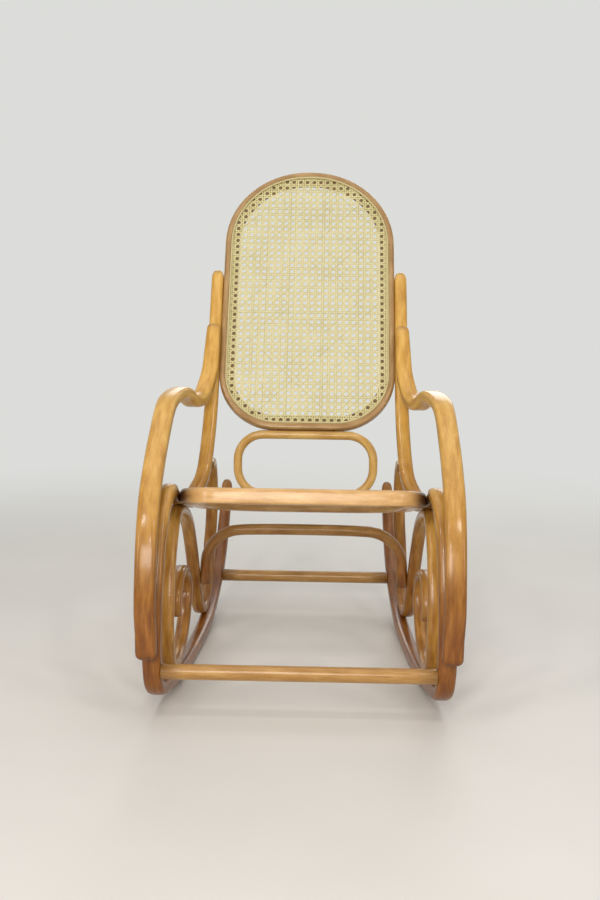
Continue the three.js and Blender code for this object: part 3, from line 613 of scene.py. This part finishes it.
# %% Arms
arm_width, arm_top_width, arm_splice_width, arm_foot_width, arm_thickness = 39, 29, 35, 37, 25
arm_reach, arm_crest_height, arm_foot_height = 456, 558, 133
arm_splice_along, arm_leave_along, arm_splice_spread, arm_flare, arm_foot_step = 240, 118, 4, 27, 6
arm_splice_shares, arm_ankle_share = (1, 0.55, 0.1), 0.12
arm_shares = (
    (-0.193, 0.984, -0.28), (-0.136, 0.959, -0.14), (-0.07, 0.95, 0.1), (-0.011, 0.959, 0.27),
    (0.044, 0.984, 0.46), (0.1, 0.998, 0.6), (0.165, 1, 0.76), (0.307, 0.982, 1), (0.548, 0.878, 0.84),
    (0.72, 0.79, 0.63), (0.833, 0.718, 0.47), (0.93, 0.615, 0.3), (0.98, 0.5, 0.23), (1, 0.39, 0.22),
)
arm_bar_width = from_table((
    (0, arm_top_width), (0.1, arm_splice_width), (0.25, arm_splice_width),
    (0.42, arm_width), (0.6, arm_width), (1, arm_foot_width),
))
arm_section = rounded_section(square, [arm_rounding] * 4)


def arm_points(side):
    offset = bar_thickness / 2 + fit_gap + arm_thickness / 2
    points = []
    for share in arm_splice_shares:
        spread = (arm_top_width - post_width) / 2 + arm_splice_spread * (1 - share)
        along = lerp(arm_leave_along, arm_splice_along, share)
        points.append(on_back(side * (post_x + spread), along, offset))
    for out, up, flare in arm_shares:
        y = -arm_reach * out
        points.append(Vector((side * (rail_span(y) + arm_flare * flare), y, arm_crest_height * up)))
    foot_x = side * (front_half_span + arm_foot_step)
    foot_y = -(front_reach + offset)
    points.append(Vector((foot_x, foot_y, lerp(arm_foot_height, arm_crest_height, arm_ankle_share))))
    points.append(Vector((foot_x, foot_y, arm_foot_height)))
    return points


for timber, (name, side) in enumerate(sides, 2):
    places = ring_places(
        bent_line(arm_points(side)),
        X,
        lambda share: (arm_bar_width(share) / 2, arm_thickness / 2),
        end_round=13,
        flat_end_share=0.5,
    )
    bm = sweep(arm_section, places, timber=timber)
    piece_from(bm, f"bent_arm_{name}", beech["rods"], "beech", f"arm_{name}")

# %% [markdown]
# A scroll is one rod that hooks on the post, falls in a loop to the rocker, climbs under the rail, falls
# again in front and curls up inside itself to a cut end. A spiral formula would draw one curl, but not the
# change from loop to loop, so the line is given as rows of shares. The loop's rows are shares of the rear
# reach and of the height from the rocker to the hook. The others are shares of the front or rear reach and
# of the height from the rocker to the rail.

# %% Scrolls
scroll_width, scroll_thickness = 27, 20
hook_drop, hook_inset, hook_rows = 80, 24, 6
scroll_loop_shares = (
    (0.45, 0.998), (0.64, 0.981), (0.828, 0.869), (0.951, 0.684), (1, 0.492),
    (0.98, 0.31), (0.906, 0.142), (0.764, 0.044), (0.62, 0.005), (0.5, 0),
)
scroll_shares = (
    (0.4, 0.035), (0.29, 0.135), (0.197, 0.277), (0.099, 0.432), (0.01, 0.579), (-0.072, 0.75),
    (-0.159, 0.89), (-0.29, 0.975), (-0.45, 1), (-0.57, 0.995), (-0.7, 0.925), (-0.812, 0.798),
    (-0.922, 0.609), (-0.986, 0.411), (-1, 0.234), (-0.962, 0.095), (-0.88, 0.02), (-0.76, 0),
    (-0.64, 0.002), (-0.507, 0.045), (-0.377, 0.135), (-0.284, 0.27), (-0.238, 0.415), (-0.29, 0.53),
    (-0.42, 0.572), (-0.565, 0.53), (-0.661, 0.42), (-0.684, 0.295),
)


def scroll_points(side):
    stand_off = bar_thickness / 2 + fit_gap + scroll_thickness / 2
    hook = on_back(0, -hook_drop, -(bar_thickness / 2 + fit_gap))
    points = [Vector((side * (scroll_span(hook.y) - hook_inset), hook.y, hook.z))]
    for row, (out, up) in enumerate(scroll_loop_shares, 1):
        y = scroll_rear * out
        inset = hook_inset * max(0, 1 - row / hook_rows)
        z = lerp(rocker_height(y) + stand_off, hook.z, up)
        points.append(Vector((side * (scroll_span(y) - inset), y, z)))
    for out, up in scroll_shares:
        y = (scroll_front if out < 0 else scroll_rear) * out
        z = lerp(rocker_height(y) + stand_off, rail_height(y) - stand_off, up)
        points.append(Vector((side * scroll_span(y), y, z)))
    return points


for timber, (name, side) in enumerate(sides, 4):
    places = ring_places(
        bent_line(scroll_points(side)), X, lambda share: (scroll_width / 2, scroll_thickness / 2)
    )
    bm = sweep(rod_section, places, end_bevel=1.2, timber=timber)
    piece_from(bm, f"bent_scroll_{name}", beech["scrolls"], "beech", f"scroll_{name}")

# %% [markdown]
# The cross pieces are turned round. The two stretchers are straight dowels between the rockers, and the arch
# brace is one bent dowel that ties the scrolls and stiffens them. They meet the side rods with square ends,
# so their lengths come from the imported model.

# %% Stretchers and arch brace
dowel_section = round_section(20)
packed_dowel_sides = 12


def straight_dowel(name, node, timber):
    low, high = (corner / METRES_PER_MM - drawing_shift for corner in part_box(node))
    middle = (low + high) / 2
    radius = (high.z - low.z) / 2 / math.cos(math.pi / packed_dowel_sides)
    ends = [Vector((x, middle.y, middle.z)) for x in (low.x, high.x)]
    line = bent_line([ends[0], middle, ends[1]], 20)
    places = ring_places(line, Y, lambda share: (radius, radius))
    bm = sweep(dowel_section, places, end_bevel=1, timber=timber)
    piece_from(bm, name, beech["dowels"], "beech", node)


straight_dowel("front_dowel", "front_stretcher", 6)
straight_dowel("rear_dowel", "rear_stretcher", 7)

arch_radius, arch_top_height, arch_bend_radius, arch_bend_steps = 12, 251, 80, 6
arch_end_fit = 1
arch_leg_x = scroll_span(arch_y) - scroll_width / 2 + arch_end_fit - arch_radius
arch_half = [Vector((-arch_leg_x, arch_y, arch_foot_height))]
for step in range(arch_bend_steps + 1):
    turn = math.pi - math.pi / 2 * step / arch_bend_steps
    bend_x = arch_bend_radius * (1 + math.cos(turn)) - arch_leg_x
    bend_z = arch_top_height - arch_bend_radius * (1 - math.sin(turn))
    arch_half.append(Vector((bend_x, arch_y, bend_z)))
arch_line = bent_line(arch_half + [Vector((-p.x, p.y, p.z)) for p in reversed(arch_half)])
arch_places = ring_places(arch_line, Y, lambda share: (arch_radius, arch_radius))
arch_mesh = sweep(dowel_section, arch_places, end_bevel=1.5, timber=8)
piece_from(arch_mesh, "bent_arch_brace", beech["braces"], "beech", "arch_brace")

# %% [markdown]
# The seat and the back are closed rims. Their outline is two pairs of round corners, and the section sits on
# it as (inset, over): how far in from the outer edge, and how high over the rim's own plane. A rebate on the
# inner edge takes the cane, and a reed spline is driven down over it. The hoop between the seat and the back
# is a closed round rod on an outline of the same kind. Each was bent from one length and glued end to end, so
# the grain starts and ends at a thin glue line on the right-hand side.

# %% Closed rims
def outline(half_width, length, foot_radius, top_radius, inset=0, steps=14):
    """Points of a rim's outline with the angle that faces out there, counter-clockwise."""
    corners = (
        (half_width - top_radius, length - top_radius, top_radius, 0),
        (top_radius - half_width, length - top_radius, top_radius, 1),
        (foot_radius - half_width, foot_radius, foot_radius, 2),
        (half_width - foot_radius, foot_radius, foot_radius, 3),
    )
    points = []
    for centre_x, centre_y, radius, quarter in corners:
        for step in range(steps + 1):
            turn = (quarter + step / steps) * math.pi / 2
            x = centre_x + (radius - inset) * math.cos(turn)
            y = centre_y + (radius - inset) * math.sin(turn)
            points.append((x, y, turn))
    return points


glue_line = 0.3


def rim_places(points, on_plane, over):
    """Ring places round a closed outline: inwards, over and along are the matrix's columns."""
    start_x, start_y, start_turn = points[0]
    places = []
    distance = 0
    previous = None
    for x, y, turn in [*points, (start_x, start_y - glue_line, start_turn)]:
        at = on_plane(x, y, 0)
        inwards = (on_plane(x - math.cos(turn), y - math.sin(turn), 0) - at).normalized()
        along = inwards.cross(over)
        if previous is not None:
            distance += (at - previous).length
        previous = at
        places.append((from_columns(inwards, over, along, at), distance))
    return places


cane_thickness, spline_width, spline_height = 1.8, 4.2, 3


def rim_section(width, thickness, ledge_width):
    """A rim's section with its rebate, and the section of the spline in it."""
    top = thickness / 2
    ledge = top - cane_thickness - spline_height - fit_gap
    wall = width - ledge_width
    corners = ((0, -top), (width, -top), (width, ledge), (wall, ledge), (wall, top), (0, top))
    under, outer_edge = 0.14 * thickness, 0.3 * thickness
    radii = (under, under, 1, 0.3, 1.2, outer_edge)
    low = ledge + 2 * fit_gap + cane_thickness
    start = wall + fit_gap
    stop = start + spline_width
    spline = ((start, low), (stop, low), (stop, low + spline_height), (start, low + spline_height))
    reed = rounded_section(spline, (0.2, 0.2, 1.8, 1.2), 3)
    return rounded_section(corners, radii), reed, Vector((wall, ledge))


seat_rim_height, seat_rim_width, seat_ledge_width = 30, 34, 20
back_rim_thickness, back_rim_width, back_ledge_width = 20, 32, 19
seat_rear_corner, seat_front_corner = 150, 78
back_length, back_foot_corner, back_top_corner = 657, 132, 192
rail_gap = bar_width / 2 + fit_gap
seat_half_width = rail_span(on_seat(0, seat_depth / 2, 0).y) - rail_gap
seat_taper = toe_in * math.cos(seat_tilt) / seat_half_width


def on_tapered_seat(x, along, over):
    return on_seat(x * (1 + seat_taper * (along - seat_depth / 2)), along, over)


def seat_outline(inset=0):
    return outline(seat_half_width, seat_depth, seat_rear_corner, seat_front_corner, inset)


def back_outline(inset=0):
    return outline(back_width / 2, back_length, back_foot_corner, back_top_corner, inset)


panels = (
    ("seat", seat_outline, on_tapered_seat, seat_over, (seat_rim_width, seat_rim_height, seat_ledge_width)),
    ("back", back_outline, on_back, back_over, (back_rim_width, back_rim_thickness, back_ledge_width)),
)
for timber, (name, rim_outline, on_plane, over, sizes) in enumerate(panels, 9):
    rim, spline, ledge = rim_section(*sizes)
    places = rim_places(rim_outline(), on_plane, over)
    rim_mesh = sweep(rim, places, closed=True, timber=timber, ledge=ledge)
    piece_from(rim_mesh, f"{name}_rim", beech[f"{name}_rim"], "rim_beech", f"{name}_frame")
    reed_mesh = sweep(spline, places, closed=True, timber=timber)
    piece_from(reed_mesh, f"{name}_reed", reed, "spline", f"{name}_spline")

# %% Hoop between seat and back
hoop_width, hoop_radius, hoop_bend_radius, screw_head_radius = 318, 9.5, 66, 4.4
hoop_foot = on_seat(0, seat_rim_width - seat_ledge_width - screw_head_radius, seat_rim_height / 2)
hoop_along = (back_foot - hoop_foot).normalized()
hoop_over = X.cross(hoop_along)
foot_rise = hoop_radius / seat_over.dot(hoop_along) - hoop_radius + fit_gap
head_drop = hoop_radius / back_along.dot(hoop_along) - hoop_radius + fit_gap
hoop_length = (back_foot - hoop_foot).length - foot_rise - head_drop


def on_hoop(x, along, over):
    return hoop_foot + hoop_along * (foot_rise + along) + hoop_over * over + X * x


hoop_outline = outline(hoop_width / 2, hoop_length, hoop_bend_radius, hoop_bend_radius)
hoop_section = [Vector((hoop_radius * (1 + a), hoop_radius * b)) for a, b in round_section(16)]
hoop_mesh = sweep(hoop_section, rim_places(hoop_outline, on_hoop, hoop_over), closed=True, timber=11)
piece_from(hoop_mesh, "bent_hoop", beech["braces"], "beech", "back_hoop")

# %% [markdown]
# Cane is woven in six steps: two sets of strands from front to rear, two from side to side, and one in each
# diagonal. The diagonals pass midway between the crossings and cut the corners off every opening, so that the
# openings become octagons. A bump map would do from afar, but light has to pass through the openings. So
# every strand is a strip of its own, a chord of the panel's outline, bent over and under the others by a
# wave, and given its thickness at the end. The strips lie a little further apart through the sheet than
# real cane does, so that each can pass the other clear.

# %% Cane strands
cane_pitch = 16
pair_spacing = 4.9
strand_width = 2.45
diagonal_width = 2.55
strand_thickness = 0.42
pair_lift, diagonal_lift = 0.2, 0.52
middle_tone, tone_spread = 0.5, 0.17
far_away, same_place, parallel = 1e4, 1e-6, 1e-9
random.seed(11)


def chord(points, at, direction):
    """Where a line enters and leaves a convex outline round the origin, as distances along the direction."""
    low, high = -far_away, far_away
    for start, end in zip(points, points[1:] + points[:1]):
        edge = end - start
        if edge.length < same_place:
            continue
        out = Vector((edge.y, -edge.x)).normalized()
        if out.dot(start) < 0:
            out.negate()
        gap = out.dot(start - at)
        slope = out.dot(direction)
        if abs(slope) < parallel:
            if gap < 0:
                return None
        elif slope > 0:
            high = min(high, gap / slope)
        else:
            low = max(low, gap / slope)
    return (low, high) if high - low > cane_pitch / 2 else None


def weave(points, to_plane, direction, offsets, width, wave, step):
    """Strips along a direction at the offsets: wave gives their height at a distance along them."""
    bm = bmesh.new()
    tone = bm.verts.layers.float.new("tone")
    sideways = Vector((-direction.y, direction.x))
    for number, offset in offsets:
        start = sideways * offset
        span = chord(points, start, direction)
        if span is None:
            continue
        low, high = span
        turn = from_columns(direction.to_3d(), sideways.to_3d(), Z, start.to_3d())
        count = max(2, round((high - low) / step))
        shape = Matrix.Diagonal(((high - low) / 2, width / 2, 1, 1))
        shape = Matrix.Translation(((low + high) / 2, 0, 0)) @ shape
        strip = bmesh.ops.create_grid(bm, x_segments=count, y_segments=1, size=1, matrix=shape)["verts"]
        shade = random.gauss(middle_tone, tone_spread)
        for vert in strip:
            vert.co.z = wave(number, vert.co.x)
            vert[tone] = shade
        bmesh.ops.transform(bm, matrix=turn, verts=strip)
    bmesh.ops.solidify(bm, geom=bm.faces, thickness=strand_thickness)
    bmesh.ops.transform(bm, matrix=to_plane, verts=bm.verts)
    return bm


def lattice(reach, shift=0):
    """Numbers and offsets of evenly pitched strands that cover a reach on both sides."""
    count = math.ceil(reach / cane_pitch) + 1
    return [(number, (number + shift) * cane_pitch) for number in range(-count, count + 1)]


def paired(rows):
    """Two strands in place of each one, half the pair's spacing to either side."""
    return [
        (2 * number + half, offset + (half - 0.5) * pair_spacing)
        for number, offset in rows
        for half in (0, 1)
    ]


def pair_wave(number, distance):
    """A straight strand rises over every second crossing and dips under the others."""
    return pair_lift * math.cos(math.pi * distance / cane_pitch + math.pi * number)


def rising_wave(number, distance):
    """A diagonal strand crosses the long pairs on one side and the cross pairs on the other."""
    x = distance * math.sqrt(0.5)
    return diagonal_lift * math.cos(2 * math.pi * x / cane_pitch + math.pi * number)


def falling_wave(number, distance):
    return -rising_wave(number, distance)


def cane_panel(name, rim_outline, on_plane, over, sizes):
    width, thickness, ledge_width = sizes
    wall = width - ledge_width + fit_gap
    sheet_middle = thickness / 2 - spline_height - cane_thickness / 2
    edge = [on_plane(x, y, 0) for x, y, _ in rim_outline(wall)]
    middle = sum(edge, Vector()) / len(edge)
    middle += over * sheet_middle
    to_plane = from_columns(X, over.cross(X), over, middle)
    flat = [(to_plane.inverted() @ point).to_2d() for point in edge]
    reach = max(point.length for point in flat)
    diagonal = math.sqrt(0.5)
    pairs = paired(lattice(reach))
    singles = [(number, offset * diagonal) for number, offset in lattice(reach * math.sqrt(2), 0.5)]
    pair_step, slant_step = cane_pitch / 2, cane_pitch * math.sqrt(2) / 6
    sets = (
        ("long", Vector((0, 1)), pairs, strand_width, pair_wave, pair_step),
        ("cross", Vector((1, 0)), pairs, strand_width, pair_wave, pair_step),
        ("rising", Vector((diagonal, diagonal)), singles, diagonal_width, rising_wave, slant_step),
        ("falling", Vector((diagonal, -diagonal)), singles, diagonal_width, falling_wave, slant_step),
    )
    for kind, *layout in sets:
        bm = weave(flat, to_plane, *layout)
        piece_from(bm, f"{name}_cane_{kind}", cane, "cane", f"{name}_cane")


for panel in panels:
    cane_panel(*panel)

# %% [markdown]
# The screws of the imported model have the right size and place, so they stay, and only get their finish: steel
# that has gone dark brown under the lacquer, stained in spots of two or three millimetres. Those in the
# fronts of the arms and posts are sunk under a beech plug, cut across the grain and lacquered over, so that
# its pores show as a fine speckle.

# %% Screws and plugs
def speckled(name, noise, stops, settings):
    """A finish whose colour wanders from one stop to the other, in a noise fixed to the piece."""
    material, tree = new_material(name)
    place = add_node(tree, "ShaderNodeTexCoord").outputs["Object"]
    spots = add_node(tree, "ShaderNodeTexNoise", noise, {"Vector": place}).outputs["Fac"]
    colour = colour_ramp(tree, spots, stops)
    shader = add_node(tree, "ShaderNodeBsdfPrincipled", settings, {"Base Color": colour})
    add_node(tree, "ShaderNodeOutputMaterial", links={"Surface": shader.outputs["BSDF"]})
    return material


screw_steel = speckled(
    "darkened_steel",
    {"Scale": 400, "Detail": 3},
    ((0.35, "#3B2A1C"), (0.65, "#6E5A44")),
    {"Metallic": 0.9, "Roughness": 0.42},
)
plug = speckled(
    "lacquered_beech_plug",
    {"Scale": 700, "Detail": 2},
    ((0.3, "#A8712C"), (0.7, "#C08A42")),
    {"Roughness": 0.4, "IOR": 1.5, "Coat Weight": 0.6, "Coat Roughness": 0.11},
)
plugged = ("arm_", "hook_")
screws = {node: screw for node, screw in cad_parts.items() if "_screw_" in node}
for node, screw in screws.items():
    screw.data.materials.clear()
    screw.data.materials.append(plug if node.startswith(plugged) else screw_steel)
print(len(screws), "screws,", sum(node.startswith(plugged) for node in screws), "of them under a plug")

# %% [markdown]
# The studio is a pale floor under a pale world, like a sheet of paper that runs up the wall. A bent backdrop
# would do the same, but it would stand in the way of a camera behind the chair. Under the chair the floor is
# a lit surface that takes the shadow. Further out it fades, for the camera, into the tone of the world
# behind it, so that no horizon cuts through the cane. Two tall lamps stand in for windows: they draw the
# long bright lines on the posts. A wide lamp in front lights the seat's edge and the cross pieces, a small
# one near the camera lights the fronts of the arms, and spots near the ceiling light the bends of the arms.
# A large lamp overhead lifts the shadows, and a broad one behind the chair gives back what a pale wall would.

# %% Floor that fades into the world
backdrop_tone = linear("#DCDDDA")
fade_start, fade_end = 0.9, 2.4


def pale_floor():
    material, tree = new_material("pale_studio_floor")
    place = add_node(tree, "ShaderNodeTexCoord").outputs["Object"]
    mottle = add_node(
        tree, "ShaderNodeTexNoise", {"Scale": 3, "Detail": 4}, {"Vector": place}
    ).outputs["Fac"]
    colour = colour_ramp(tree, mottle, ((0.3, "#D6D4CF"), (0.7, "#DAD8D4")))
    lit = add_node(tree, "ShaderNodeBsdfPrincipled", {"Roughness": 0.6}, {"Base Color": colour})
    far = add_node(tree, "ShaderNodeEmission", {"Color": backdrop_tone, "Strength": 1})
    distance = add_node(
        tree, "ShaderNodeVectorMath", {"operation": "LENGTH"}, {0: place}
    ).outputs["Value"]
    fade = add_node(
        tree,
        "ShaderNodeMapRange",
        {"From Min": fade_start, "From Max": fade_end, "interpolation_type": "SMOOTHSTEP"},
        {"Value": distance},
    ).outputs["Result"]
    rays = add_node(tree, "ShaderNodeLightPath").outputs["Is Camera Ray"]
    share = add_node(tree, "ShaderNodeMath", {"operation": "MULTIPLY"}, {0: fade, 1: rays}).outputs[0]
    surface = add_node(
        tree, "ShaderNodeMixShader", links={0: share, 1: lit.outputs[0], 2: far.outputs[0]}
    ).outputs[0]
    add_node(tree, "ShaderNodeOutputMaterial", links={"Surface": surface})
    return material


floor_mesh = bmesh.new()
bmesh.ops.create_grid(floor_mesh, x_segments=4, y_segments=4, size=30)
floor_data = bpy.data.meshes.new("studio_floor")
floor_mesh.to_mesh(floor_data)
floor_mesh.free()
floor_data.materials.append(pale_floor())
floor = bpy.data.objects.new("studio_floor", floor_data)
bpy.context.scene.collection.objects.link(floor)
print("the floor fades from", fade_start, "to", fade_end, "metres from the chair")


# %% Lamps
def soft_lamp(name, place, aim, size, power, colour):
    data = bpy.data.lights.new(name, "AREA")
    data.shape = "RECTANGLE"
    data.size, data.size_y = size
    data.energy = power
    data.color = linear(colour)[:3]
    lamp = bpy.data.objects.new(name, data)
    lamp.location = place
    lamp.visible_camera = False
    lamp.rotation_euler = (Vector(aim) - Vector(place)).to_track_quat("-Z", "Y").to_euler()
    bpy.context.scene.collection.objects.link(lamp)
    print(name, "lamp:", power, "watts")


soft_lamp("left_window", (-1.9, -2.2, 1.5), (0, 0, 0.5), (0.4, 1.6), 16, "#FFF6EC")
soft_lamp("right_window", (2.0, -2.0, 1.4), (0, 0, 0.5), (0.35, 1.5), 12, "#FFFAF4")
soft_lamp("room_window", (-0.3, -2.9, 1.4), (0, 0, 0.4), (1.3, 0.8), 34, "#FFF8F2")
soft_lamp("camera_side", (-0.2, -2.6, 2.0), (0, 0, 0.5), (0.3, 0.3), 7, "#FFF8F2")
soft_lamp("rear_wall", (0.4, 2.4, 1.7), (0, 0, 0.5), (2.2, 1.4), 26, "#FBFAF8")
soft_lamp("ceiling", (0, -0.2, 3.2), (0, 0, 0), (2.6, 2.6), 20, "#FFFFFF")
for place, side in sides:
    soft_lamp(f"ceiling_spot_{place}", (side * 0.8, -1.6, 2.35), (0, 0, 0.5), (0.2, 0.3), 6, "#FFF8F2")

# %% World
world = bpy.data.worlds.new("pale_world")
bpy.context.scene.world = world
world.use_nodes = True
sky = world.node_tree
sky.nodes.clear()
rays = add_node(sky, "ShaderNodeLightPath").outputs
mirrored = add_node(
    sky,
    "ShaderNodeMath",
    {"operation": "MAXIMUM"},
    {0: rays["Is Glossy Ray"], 1: rays["Is Transmission Ray"]},
).outputs[0]
seen = add_node(
    sky, "ShaderNodeMath", {"operation": "MAXIMUM"}, {0: rays["Is Camera Ray"], 1: mirrored}
).outputs[0]
soft = add_node(sky, "ShaderNodeBackground", {"Color": linear("#F4F3F1"), "Strength": 0.3}).outputs[0]
plain = add_node(sky, "ShaderNodeBackground", {"Color": backdrop_tone, "Strength": 1}).outputs[0]
either = add_node(sky, "ShaderNodeMixShader", links={0: seen, 1: soft, 2: plain}).outputs[0]
add_node(sky, "ShaderNodeOutputWorld", links={"Surface": either})

# %% [markdown]
# The camera stands 2.2 m in front of the chair's middle and 0.8 m above the floor. It looks slightly down,
# through a lens of normal length. Three Euler angles could turn it, but a matrix built from the directions
# look and level shows which way yaw, pitch and roll each turn the view.

# %% Camera
camera_place = Vector((28, -2235, 811))
camera_yaw, camera_pitch, camera_roll = (math.radians(angle) for angle in (-1.0008, 9.6, 0.7627))
look = Vector((
    math.sin(camera_yaw) * math.cos(camera_pitch),
    math.cos(camera_yaw) * math.cos(camera_pitch),
    -math.sin(camera_pitch),
))
level = Vector((math.cos(camera_yaw), -math.sin(camera_yaw), 0))
right = math.cos(camera_roll) * level + math.sin(camera_roll) * level.cross(look)
camera_data = bpy.data.cameras.new("portrait_camera")
camera_data.sensor_width = 36
camera_data.lens = 42.58
camera = bpy.data.objects.new("portrait_camera", camera_data)
camera.matrix_world = from_columns(right, right.cross(look), -look, to_frame @ camera_place)
bpy.context.scene.collection.objects.link(camera)
bpy.context.scene.camera = camera
bpy.context.scene.view_settings.view_transform = "Standard"
print("the camera stands at", [round(value, 2) for value in camera.matrix_world.translation], "metres")
